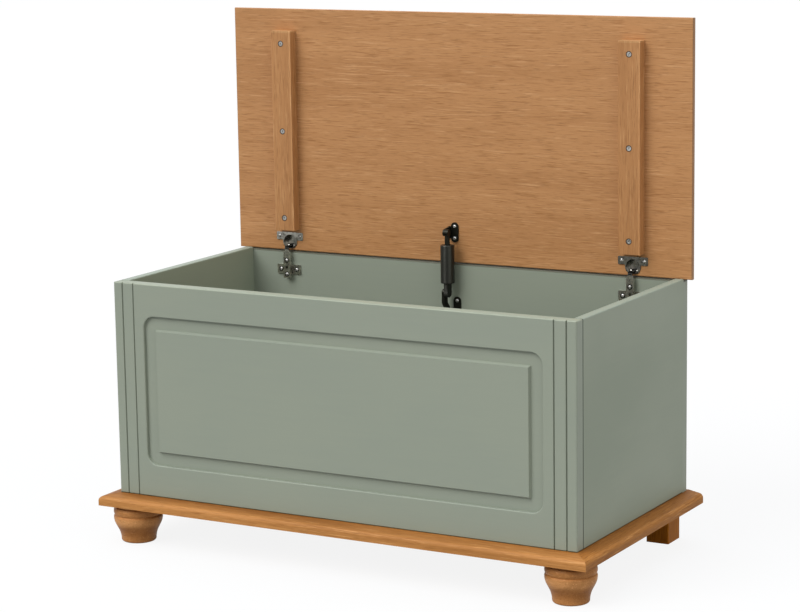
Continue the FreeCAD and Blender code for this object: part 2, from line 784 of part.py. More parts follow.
def stay_lid_bracket():
    lobes = [rod(stay_plate_radius, under_lid(s, 0, stay_plate_x), -z_axis, stay_plate_thickness)
             for s in stay_lid_screw_ss]
    near = under_lid(stay_lid_screw_ss[1], 0).y
    far = under_lid(stay_lid_screw_ss[0], 0).y
    face_z = lid_under_z - stay_plate_thickness
    bar = block(lid_lug_x, stay_plate_x + stay_plate_radius, near, far, face_z, lid_under_z)
    plate = fuse(lobes + [bar])
    pivot = under_lid(stay_pivot_from_edge, stay_pivot_standoff, lid_lug_x)
    foot_a = under_lid(stay_lid_screw_ss[1], 0, lid_lug_x)
    foot_b = under_lid(stay_lid_screw_ss[0], 0, lid_lug_x)
    ear = lug(foot_a, foot_b, pivot, y_axis, -z_axis)
    holes = [rod(stay_pin_radius, pivot, x_axis, stay_lug_thickness)]
    for s in stay_lid_screw_ss:
        holes.append(screw_hole(under_lid(s, 0, stay_plate_x), -z_axis, stay_plate_thickness))
    return opened(cut(fuse([plate, ear]), holes))


def stay_base_bracket():
    points = stay_base_screw_points()
    shoulder_z = points[0].z - stay_plate_radius
    front = back_inner_y - stay_plate_thickness
    left = stay_base_plate_x - stay_plate_radius
    lobes = [rod(stay_plate_radius, point, -y_axis, stay_plate_thickness) for point in points]
    bar = block(left, left + 2 * stay_plate_radius, front, back_inner_y, points[1].z, points[0].z)
    plate = fuse(lobes + [bar])
    pivot = uv(stay_base_standoff, stay_base_v, base_lug_x)
    foot_a = V(base_lug_x, back_inner_y, points[1].z)
    foot_b = V(base_lug_x, back_inner_y, shoulder_z)
    ear = lug(foot_a, foot_b, pivot, z_axis, -y_axis)
    holes = [rod(stay_pin_radius, pivot, x_axis, stay_lug_thickness)]
    holes += [screw_hole(point, -y_axis, stay_plate_thickness) for point in points]
    return cut(fuse([plate, ear]), holes)


def stay_lid_pin():
    start = V(lid_lug_x, stay_top.y, stay_top.z)
    return rivet(start, 1, tongue_high_x - lid_lug_x)


def stay_base_pin():
    start = uv(stay_base_standoff, stay_base_v, base_lug_x + stay_lug_thickness)
    return rivet(start, -1, start.x - arm_foot_x)


# Round stock with both sides cut away to a tongue between two levels
def flattened(stock, low_z, high_z):
    reach = 2 * stay_barrel_radius
    near = stay_top.y - reach
    far = stay_top.y + reach
    left = block(tongue_low_x - reach, tongue_low_x, near, far, low_z, high_z)
    right = block(tongue_high_x, tongue_high_x + reach, near, far, low_z, high_z)
    return stock.cut(Part.makeCompound([left, right]))


# Rod that hangs from the lid bracket and ends inside the barrel
def stay_rod():
    eye = rod(stay_eye_radius, V(tongue_low_x, stay_top.y, stay_top.z), x_axis, stay_tongue_thickness)
    shank = rod(stay_rod_radius, stay_top, -z_axis, stay_barrel_start + stay_barrel_bore_depth)
    shank = flattened(shank, stay_top.z - stay_tongue_run, stay_top.z)
    bore_start = V(tongue_low_x, stay_top.y, stay_top.z)
    bore = rod(stay_pin_radius + stay_pin_fit, bore_start, x_axis, stay_tongue_thickness)
    return cut(fuse([eye, shank]), [bore])


# Barrel whose nose narrows to a flat tongue at the elbow
def stay_barrel():
    top = V(stay_axis_offset, stay_top.y, stay_top.z - stay_barrel_start)
    r = stay_barrel_radius
    e = stay_barrel_round
    length = stay_barrel_length
    nose_end = stay_upper_length - stay_barrel_start
    bore = stay_rod_radius + hole_fit
    steps = [rt(bore, 0), rt(r - e, 0)]
    steps += [(round_middle(rt(r, 0), rt(r - e, 0), rt(r, e)), rt(r, e)), rt(r, length - e)]
    steps.append((round_middle(rt(r, length), rt(r, length - e), rt(r - e, length)), rt(r - e, length)))
    steps += [rt(stay_nose_radius, length), rt(stay_nose_radius, nose_end), rt(0, nose_end)]
    steps += [rt(0, stay_barrel_bore_depth + hole_fit), rt(bore, stay_barrel_bore_depth + hole_fit)]
    body = turned(steps, top, -z_axis)
    elbow_z = rim_z + elbow_v
    body = flattened(body, elbow_z, elbow_z + stay_nose_flat)
    tip = rod(stay_nose_radius, V(tongue_low_x, stay_top.y, elbow_z), x_axis, stay_tongue_thickness)
    return fuse([body, tip])


# Lower link: a strap that cranks sideways and widens from its eye to its foot
def stay_lower_arm():
    eye_v = elbow_v
    e = stay_arm_eye_radius
    w = stay_arm_foot_radius
    t = stay_arm_thickness
    path = [(arm_eye_x, eye_v + e), (arm_eye_x, eye_v - stay_arm_crank_start)]
    path += [(arm_foot_x, eye_v - stay_arm_crank_end), (arm_foot_x, stay_base_v - w)]
    near_u = max(stay_top_u, stay_base_standoff) + w
    far_u = min(stay_top_u, stay_base_standoff) - w
    outline = [uv(near_u, v, x) for x, v in path] + [uv(near_u, v, x + t) for x, v in reversed(path)]
    strap = closed_face(outline).extrude(V(0, near_u - far_u, 0))
    eye = uv(stay_top_u, eye_v, arm_eye_x)
    foot = uv(stay_base_standoff, stay_base_v, arm_eye_x)
    span = foot - eye
    along = span * (1 / span.Length)
    across = along.cross(x_axis)
    a0 = eye - across * e
    a1 = foot - across * w
    b1 = foot + across * w
    b0 = eye + across * e
    stadium = closed_face([a0, a1, (foot + along * w, b1), b0, (eye - along * e, a0)])
    strap = strap.common(stadium.extrude(V(base_lug_x - arm_eye_x, 0, 0)))
    rivet_hole = rod(stay_pin_radius, eye, x_axis, t)
    pin_start = uv(stay_base_standoff, stay_base_v, arm_foot_x)
    pin_hole = rod(stay_pin_radius + stay_pin_fit, pin_start, x_axis, t)
    return cut(strap, [rivet_hole, pin_hole])


def stay_elbow_rivet():
    start = uv(stay_top_u, elbow_v, arm_eye_x)
    return rivet(start, 1, stay_arm_thickness)


def surface_screws(bases, direction, length):
    return [pan_screw(base, direction, length) for base in bases]


def lid_screws(bases):
    return [opened(screw) for screw in surface_screws(bases, z_axis, short_screw_length)]


plate_screw_bases = [uv(plate_thickness, -plate_drop, x) for x in hinge_plate_screw_xs]
hinge_xs = (-hinge_offset, hinge_offset)
arm_screw_bases = [uv(arm_projection, -drop, x) for x in hinge_xs for drop in arm_screw_drops]
cup_screw_bases = [under_lid(flange_screw_s, flange_thickness, x) for x in flange_screw_xs]
stay_lid_screw_bases = [under_lid(s, stay_plate_thickness, stay_plate_x) for s in stay_lid_screw_ss]
stay_base_screw_bases = [point - y_axis * stay_plate_thickness for point in stay_base_screw_points()]

single_parts = {
    "front_panel": front_panel(),
    "back_panel": back_panel(),
    "base_panel": base_panel(),
    "plinth_front_moulding": plinth_front_moulding(),
    "plinth_rear_rail": plinth_rear_rail(),
    "lid_panel": lid_panel(),
    "stay_lid_bracket": stay_lid_bracket(),
    "stay_lid_pin": stay_lid_pin(),
    "stay_rod": stay_rod(),
    "stay_barrel": stay_barrel(),
    "stay_lower_arm": stay_lower_arm(),
    "stay_elbow_rivet": stay_elbow_rivet(),
    "stay_base_bracket": stay_base_bracket(),
    "stay_base_pin": stay_base_pin(),
}

paired_parts = {
    "{}_corner_post": right_corner_post(),
    "{}_side_panel": right_side_panel(),
    "plinth_{}_moulding": plinth_right_moulding(),
    "front_{}_bun_foot": front_right_bun_foot(),
    "rear_{}_block_foot": rear_right_block_foot(),
    "{}_lid_batten": right_lid_batten(),
    "{}_hinge_cup": right_hinge_cup(),
    "{}_hinge_pin": right_hinge_pin(),
    "{}_hinge_arm": right_hinge_arm(),
    "{}_hinge_plate": right_hinge_plate(),
}

grouped_parts = {
    "corner_dowels": corner_dowels(),
    "back_panel_screws": rear_screws(),
    "plinth_screws": plinth_screws(),
    "foot_bolts": foot_bolts(),
    "batten_screws": [opened(screw) for screw in batten_screws()],
    "hinge_plate_screws": surface_screws(plate_screw_bases, y_axis, short_screw_length),
    "hinge_arm_screws": surface_screws(arm_screw_bases, y_axis, arm_screw_length),
    "hinge_cup_screws": lid_screws(cup_screw_bases),
    "stay_lid_screws": lid_screws(stay_lid_screw_bases),
    "stay_base_screws": surface_screws(stay_base_screw_bases, y_axis, short_screw_length),
}

os.makedirs("parts", exist_ok=True)
for name, shape in single_parts.items():
    shape.exportStep(f"parts/{name}.step")
for pattern, shape in paired_parts.items():
    shape.exportStep(f"parts/{pattern.format('right')}.step")
    mirrored(shape).exportStep(f"parts/{pattern.format('left')}.step")
for name, solids in grouped_parts.items():
    Part.makeCompound(solids).exportStep(f"parts/{name}.step")
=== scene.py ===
import math

import bmesh
import bpy
import numpy as np
from mathutils import Matrix, Vector


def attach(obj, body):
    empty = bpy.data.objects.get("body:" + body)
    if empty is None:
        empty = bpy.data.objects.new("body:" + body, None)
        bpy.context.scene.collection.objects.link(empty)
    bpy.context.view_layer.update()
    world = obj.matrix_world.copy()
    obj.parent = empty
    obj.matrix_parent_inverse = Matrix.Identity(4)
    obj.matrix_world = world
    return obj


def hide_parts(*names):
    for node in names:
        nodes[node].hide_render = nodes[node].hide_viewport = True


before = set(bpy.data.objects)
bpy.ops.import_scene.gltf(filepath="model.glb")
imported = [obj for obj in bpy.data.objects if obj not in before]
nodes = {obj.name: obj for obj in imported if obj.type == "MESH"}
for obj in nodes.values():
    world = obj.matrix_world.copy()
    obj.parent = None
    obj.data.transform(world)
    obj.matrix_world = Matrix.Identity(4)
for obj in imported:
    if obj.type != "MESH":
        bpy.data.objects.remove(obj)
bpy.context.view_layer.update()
print("frame loaded:", len(nodes), "nodes")


# shader helpers

def feed(tree, socket, value):
    if isinstance(value, bpy.types.NodeSocket):
        tree.links.new(value, socket)
    else:
        socket.default_value = value


# inputs go by their label, or by number as i0, i1 and so on
def addNode(tree, kind, settings=None, **inputs):
    node = tree.nodes.new(kind)
    for name, value in (settings or {}).items():
        setattr(node, name, value)
    for name, value in inputs.items():
        numbered = name[0] == "i" and name[1:].isdigit()
        feed(tree, node.inputs[int(name[1:]) if numbered else name], value)
    return node


def calc(tree, operation, a, b=0.0):
    return addNode(tree, "ShaderNodeMath", {"operation": operation}, i0=a, i1=b).outputs[0]


def calcVector(tree, operation, a, b):
    return addNode(tree, "ShaderNodeVectorMath", {"operation": operation}, i0=a, i1=b)


def blendColour(tree, factor, a, b, way="MIX"):
    settings = {"data_type": "RGBA", "blend_type": way}
    return addNode(tree, "ShaderNodeMix", settings, i0=factor, i6=a, i7=b).outputs[2]


def remap(tree, value, low, high, toLow=0.0, toHigh=1.0):
    node = addNode(tree, "ShaderNodeMapRange", {"interpolation_type": "SMOOTHSTEP"},
                   i0=value, i1=low, i2=high, i3=toLow, i4=toHigh)
    return node.outputs[0]


# stretch is the noise's cycles per metre along x, y and z
def stretchedNoise(tree, vector, stretch, detail, roughness=0.55):
    scaled = calcVector(tree, "MULTIPLY", vector, stretch).outputs[0]
    noise = addNode(tree, "ShaderNodeTexNoise", None,
                    Vector=scaled, Scale=1.0, Detail=detail, Roughness=roughness)
    return noise.outputs[0]


vectorKind, colourKind, valueKind = "NodeSocketVector", "NodeSocketColor", "NodeSocketFloat"
skinGives = [("Color", colourKind), ("Roughness", valueKind), ("Height", valueKind)]
maskGives = [("Mask", valueKind)]


def newGroup(name, takes, gives):
    group = bpy.data.node_groups.new(name, "ShaderNodeTree")
    for label, kind, value in takes:
        socket = group.interface.new_socket(name=label, in_out="INPUT", socket_type=kind)
        if value is not None:
            socket.default_value = value
    for label, kind in gives:
        group.interface.new_socket(name=label, in_out="OUTPUT", socket_type=kind)
    return group, group.nodes.new("NodeGroupInput").outputs, group.nodes.new("NodeGroupOutput").inputs


# shared effects

woodGrain = {
    "warp": {"stretch": (2.2, 7.0, 7.0), "detail": 2.0}, "warpReach": (0.0, 0.012, 0.012),
    "bands": {"stretch": (1.6, 22.0, 22.0), "detail": 4.0}, "bandRange": (0.38, 0.66),
    "lines": {"stretch": (17.0, 430.0, 430.0), "detail": 3.0, "roughness": 0.6}, "paleRange": (0.46, 0.3),
    "dashes": {"stretch": (30.0, 620.0, 620.0), "detail": 2.0}, "darkRange": (0.53, 0.7),
    "pores": {"stretch": (46.0, 1250.0, 1250.0), "detail": 2.0}, "poreRange": (0.56, 0.72),
    "poreTone": (0.02, 0.01, 0.004, 1), "poreShare": 0.55, "lineRough": 0.14, "lineRise": -0.6,
}


# wood figure: slow bands of tone, short straight dashes both paler and darker, and fine pores,
# drawn out along x
def makeWoodFigure():
    group, take, give = newGroup(
        "woodFigure",
        [("Vector", vectorKind, None), ("Pale", colourKind, (0.5, 0.3, 0.1, 1)),
         ("Mid", colourKind, (0.4, 0.2, 0.07, 1)), ("Dark", colourKind, (0.3, 0.15, 0.05, 1)),
         ("Drift", valueKind, 0.5), ("Lines", valueKind, 0.5), ("Pores", valueKind, 0.5),
         ("Shine", valueKind, 0.45)],
        skinGives)
    warp = stretchedNoise(group, take["Vector"], **woodGrain["warp"])
    lifted = addNode(group, "ShaderNodeVectorMath", {"operation": "SCALE"},
                     i0=woodGrain["warpReach"], Scale=warp)
    bent = calcVector(group, "ADD", take["Vector"], lifted.outputs[0]).outputs[0]
    bands, lines, dashes, pores = [stretchedNoise(group, bent, **woodGrain[name])
                                   for name in ("bands", "lines", "dashes", "pores")]
    drift = calc(group, "MULTIPLY", remap(group, bands, *woodGrain["bandRange"]), take["Drift"])
    paler = calc(group, "MULTIPLY", remap(group, lines, *woodGrain["paleRange"]), take["Lines"])
    darker = calc(group, "MULTIPLY", remap(group, dashes, *woodGrain["darkRange"]), take["Lines"])
    dots = calc(group, "MULTIPLY", remap(group, pores, *woodGrain["poreRange"]), take["Pores"])
    body = blendColour(group, drift, take["Mid"], take["Dark"])
    body = blendColour(group, paler, body, take["Pale"])
    body = blendColour(group, darker, body, take["Dark"])
    deep = blendColour(group, woodGrain["poreShare"], take["Dark"], woodGrain["poreTone"])
    feed(group, give["Color"], blendColour(group, dots, body, deep))
    rough = calc(group, "MULTIPLY", lines, woodGrain["lineRough"])
    feed(group, give["Roughness"], calc(group, "ADD", take["Shine"], rough))
    raised = calc(group, "MULTIPLY", lines, woodGrain["lineRise"])
    feed(group, give["Height"], calc(group, "SUBTRACT", raised, dots))
    return group


paintCoat = {
    "slow": {"stretch": (3.0, 5.0, 5.0), "detail": 3.0}, "slowTone": 0.7, "slowRange": (0.3, 0.7),
    "brushed": {"stretch": (9.0, 130.0, 130.0), "detail": 4.0, "roughness": 0.6}, "brushedTone": 0.3,
    "stipple": {"stretch": (900.0, 900.0, 900.0), "detail": 2.0}, "stippleRise": 0.35, "brushedRise": 0.65,
    "toneRange": (0.36, 0.64), "warm": (1.025, 1.02, 0.985, 1), "cool": (0.935, 0.955, 0.955, 1),
    "roughness": (0.44, 0.56),
}


# paint skin: slow drift of tone over the board, brushed lines along x and a fine roller stipple
def makePaintSkin():
    group, take, give = newGroup(
        "paintSkin",
        [("Vector", vectorKind, None), ("Paint", colourKind, (0.3, 0.33, 0.26, 1)),
         ("Drift", valueKind, 0.5)],
        skinGives)
    slow, brushed, stipple = [stretchedNoise(group, take["Vector"], **paintCoat[name])
                              for name in ("slow", "brushed", "stipple")]
    tone = calc(group, "ADD", calc(group, "MULTIPLY", slow, paintCoat["slowTone"]),
                calc(group, "MULTIPLY", brushed, paintCoat["brushedTone"]))
    tone = calc(group, "MULTIPLY", remap(group, tone, *paintCoat["toneRange"]), take["Drift"])
    warm = blendColour(group, 1.0, take["Paint"], paintCoat["warm"], "MULTIPLY")
    cool = blendColour(group, 1.0, take["Paint"], paintCoat["cool"], "MULTIPLY")
    feed(group, give["Color"], blendColour(group, tone, warm, cool))
    feed(group, give["Roughness"], remap(group, slow, *paintCoat["slowRange"], *paintCoat["roughness"]))
    grain = calc(group, "ADD", calc(group, "MULTIPLY", stipple, paintCoat["stippleRise"]),
                 calc(group, "MULTIPLY", brushed, paintCoat["brushedRise"]))
    feed(group, give["Height"], grain)
    return group


platedCoat = {
    "cloud": {"stretch": (160.0, 160.0, 160.0), "detail": 4.0}, "cloudRange": (0.35, 0.7),
    "cloudRough": 0.2,
    "rub": {"stretch": (300.0, 300.0, 3200.0), "detail": 3.0},
}


# plated metal: cloudy plating and fine rubbing lines
def makePlating():
    group, take, give = newGroup(
        "plating",
        [("Vector", vectorKind, None), ("Bright", colourKind, (0.7, 0.7, 0.7, 1)),
         ("Dull", colourKind, (0.45, 0.44, 0.42, 1)), ("Shine", valueKind, 0.25)],
        skinGives)
    cloud, rub = [stretchedNoise(group, take["Vector"], **platedCoat[name])
                  for name in ("cloud", "rub")]
    dulled = remap(group, cloud, *platedCoat["cloudRange"])
    feed(group, give["Color"], blendColour(group, dulled, take["Bright"], take["Dull"]))
    rough = calc(group, "MULTIPLY", cloud, platedCoat["cloudRough"])
    feed(group, give["Roughness"], calc(group, "ADD", take["Shine"], rough))
    feed(group, give["Height"], rub)
    return group


blackFilm = {
    "cloud": {"stretch": (90.0, 90.0, 90.0), "detail": 3.0}, "cloudRange": (0.3, 0.75),
    "cloudRough": 0.15, "paler": (1.7, 1.7, 1.75, 1), "grainDetail": 2.0,
}


# black skin: faint mottling and a fine grain, even on a casting and drawn round into lathe lines
# on a turned piece
def makeBlackSkin():
    group, take, give = newGroup(
        "blackSkin",
        [("Vector", vectorKind, None), ("Black", colourKind, (0.013, 0.013, 0.014, 1)),
         ("Shine", valueKind, 0.35), ("Grain", vectorKind, (2400.0, 2400.0, 2400.0))],
        skinGives)
    cloud = stretchedNoise(group, take["Vector"], **blackFilm["cloud"])
    grain = stretchedNoise(group, take["Vector"], take["Grain"], blackFilm["grainDetail"])
    pale = blendColour(group, 1.0, take["Black"], blackFilm["paler"], "MULTIPLY")
    mottled = remap(group, cloud, *blackFilm["cloudRange"])
    feed(group, give["Color"], blendColour(group, mottled, take["Black"], pale))
    rough = calc(group, "MULTIPLY", cloud, blackFilm["cloudRough"])
    feed(group, give["Roughness"], calc(group, "ADD", take["Shine"], rough))
    feed(group, give["Height"], grain)
    return group


sinkFade = 0.8  # share of a sink's radius that is fully dark


# sink mark: one inside a radius round screws set at an even pitch along z, on both sides of the middle, where
# painted shade goes into the countersinks
def makeSinkMark():
    group, take, give = newGroup(
        "sinkMark",
        [("Place", vectorKind, None), ("Side", valueKind, 0.3), ("First", valueKind, 0.5),
         ("Pitch", valueKind, 0.1), ("Radius", valueKind, 0.005)],
        maskGives)
    split = addNode(group, "ShaderNodeSeparateXYZ", None, i0=take["Place"]).outputs
    beside = calc(group, "SUBTRACT", calc(group, "ABSOLUTE", split[0]), take["Side"])
    above = calc(group, "SUBTRACT", split[2], take["First"])
    above = calc(group, "PINGPONG", above, calc(group, "MULTIPLY", take["Pitch"], 0.5))
    squares = calc(group, "ADD", calc(group, "MULTIPLY", beside, beside),
                   calc(group, "MULTIPLY", above, above))
    inner = calc(group, "MULTIPLY", take["Radius"], sinkFade)
    feed(group, give["Mask"], remap(group, calc(group, "SQRT", squares), take["Radius"], inner))
    return group


# band mark: one near a plane across an axis, fading over its outer part, only beyond a distance
# from the middle
def makeBandMark():
    group, take, give = newGroup(
        "bandMark",
        [("Place", vectorKind, None), ("Axis", vectorKind, (0.0, 0.0, 1.0)), ("Middle", valueKind, 0.0),
         ("Half", valueKind, 0.001), ("Inner", valueKind, 0.5), ("Side", valueKind, 0.0)],
        maskGives)
    along = calcVector(group, "DOT_PRODUCT", take["Place"], take["Axis"]).outputs["Value"]
    away = calc(group, "ABSOLUTE", calc(group, "SUBTRACT", along, take["Middle"]))
    near = remap(group, away, take["Half"], calc(group, "MULTIPLY", take["Half"], take["Inner"]))
    split = addNode(group, "ShaderNodeSeparateXYZ", None, i0=take["Place"]).outputs
    outside = calc(group, "GREATER_THAN", calc(group, "ABSOLUTE", split[0]), take["Side"])
    feed(group, give["Mask"], calc(group, "MULTIPLY", near, outside))
    return group


groups = {"wood": makeWoodFigure(), "paint": makePaintSkin(), "metal": makePlating(),
          "black": makeBlackSkin(), "sink": makeSinkMark(), "band": makeBandMark()}
print("shared effects:", len(groups))


# marks on the finishes: a sink's or band's mask, and the colour that is mixed in or multiplied there; every
# mark is painted shade or a painted highlight

alongX, alongY = (1, 0, 0), (0, 1, 0)

# places on the box, in metres
boxPlaces = {
    "deck": 0.085, "rim": 0.445, "backTop": 0.4422, "sideJointShade": -0.1805, "sideOuter": 0.42,
    "lidEdge": 0.438, "hingeLine": 0.333, "battenEdgeReach": 0.0183, "battenTop": 0.8328,
    "battenScrews": 0.5036, "battenPitch": 0.154, "plateScrews": 0.41, "plateScrewReach": 0.016,
    "armScrews": 0.402, "armPitch": 0.025, "neck": 0.4515, "nose": 0.0715, "belly": 0.0365, "waist": 0.0195,
}
onlyOne = 1.0  # a pitch longer than the piece


def band(colour, middle, half, way="MULTIPLY", **values):
    values = {"Middle": middle, "Half": half, **values}
    return {"group": "band", "values": values, "way": way, "colour": colour}


def sink(colour, side, first, pitch, radius, way="MULTIPLY"):
    values = {"Side": side, "First": first, "Pitch": pitch, "Radius": radius}
    return {"group": "sink", "values": values, "way": way, "colour": colour}


# painted boards: painted shade in the joint of post and side, on the deck and in the gap under the lid, and a
# painted highlight on the rims
# painted shade in the joint between the corner post and the side
sideJointShade = band((0.07, 0.08, 0.062, 1), boxPlaces["sideJointShade"], 0.0017, way="MIX", Axis=alongY,
                 Side=boxPlaces["sideOuter"])
deckShade = band((0.3, 0.28, 0.22, 1), boxPlaces["deck"], 0.0024, Inner=0.3)
# painted shade on the back board's top edge, in the gap under the open lid
backShade = band((0.27, 0.25, 0.2, 1), boxPlaces["backTop"], 0.0028)
# painted highlight along the top rims of the front, posts and sides
rimHighlight = band((1.07, 1.065, 1.02, 1), boxPlaces["rim"], 0.0022)
sideRimHighlight = band((1.03, 1.06, 1.11, 1), boxPlaces["rim"], 0.0022)

# lid and battens: painted shade on the lid ends, painted highlight on the batten edges and ends, painted shade
# in the sinks round the screws
# painted shade along the lid's two end edges
lidEndShade = [band((0.66, 0.67, 0.68, 1), x, 0.0013, Axis=alongX, Inner=0.4)
           for x in (-boxPlaces["lidEdge"], boxPlaces["lidEdge"])]
# painted highlight on one long edge of each batten and on its top end
battenEdgeHighlights = [band((1.3, 1.36, 1.45, 1), x + boxPlaces["battenEdgeReach"], 0.0014, Axis=alongX, Inner=0.3)
              for x in (-boxPlaces["hingeLine"], boxPlaces["hingeLine"])]
battenEndHighlight = band((1.15, 1.27, 1.4, 1), boxPlaces["battenTop"], 0.003)
# painted shade in the countersinks round the batten screws
battenSinkShade = sink((0.05, 0.026, 0.012, 1), boxPlaces["hingeLine"], boxPlaces["battenScrews"],
                   boxPlaces["battenPitch"], 0.006, way="MIX")

# plinth and feet: painted highlight on the nose and belly, painted shade at the waist
# painted highlight along the rounded nose of the plinth mouldings
noseHighlight = band((1.56, 1.76, 2.3, 1), boxPlaces["nose"], 0.0135, Inner=0.55)
# painted highlight on the swell of the bun feet
bellyHighlight = band((1.3, 1.42, 1.65, 1), boxPlaces["belly"], 0.01, Inner=0.2)
# painted shade in the hollow waist of the bun feet
waistShade = band((0.8, 0.74, 0.66, 1), boxPlaces["waist"], 0.012, Inner=0.2)

# hinge arms and plates: painted shade on the neck and in the sinks round the screws
# painted shade over the bend of the hinge neck, in place of its highlight
neckShade = band((0.07, 0.07, 0.072, 1), boxPlaces["neck"], 0.0065)
sinkRows = [(-boxPlaces["plateScrewReach"], boxPlaces["plateScrews"], onlyOne),
            (boxPlaces["plateScrewReach"], boxPlaces["plateScrews"], onlyOne),
            (0.0, boxPlaces["armScrews"], boxPlaces["armPitch"])]
# painted shade round the plate and arm screws
hingeSinkShade = [sink((0.14, 0.14, 0.13, 1), boxPlaces["hingeLine"] + reach, first, pitch, 0.0052)
              for reach, first, pitch in sinkRows]


# finishes: turn and shift lay the grain on the piece, bump and depth are the relief's strength and metres

quarter = math.pi / 2
grainAlongY = (0, 0, quarter)
grainAlongZ = (0, quarter, 0)

flatPaint = {"Specular IOR Level": 0.35}
lacquer = {"Specular IOR Level": 0.32}
plinthLacquer = {"Specular IOR Level": 0.1}
bareMetal = {"Metallic": 1.0}
paintRelief = {"bump": 0.12, "depth": 0.0004}
veneerRelief = {"bump": 0.18, "depth": 0.0003}
solidRelief = {"bump": 0.2, "depth": 0.0003}
metalRelief = {"bump": 0.05, "depth": 0.0001}
filmRelief = {"bump": 0.1, "depth": 0.0001}

paintLook = {"Paint": (0.257, 0.285, 0.233, 1), "Drift": 0.45}

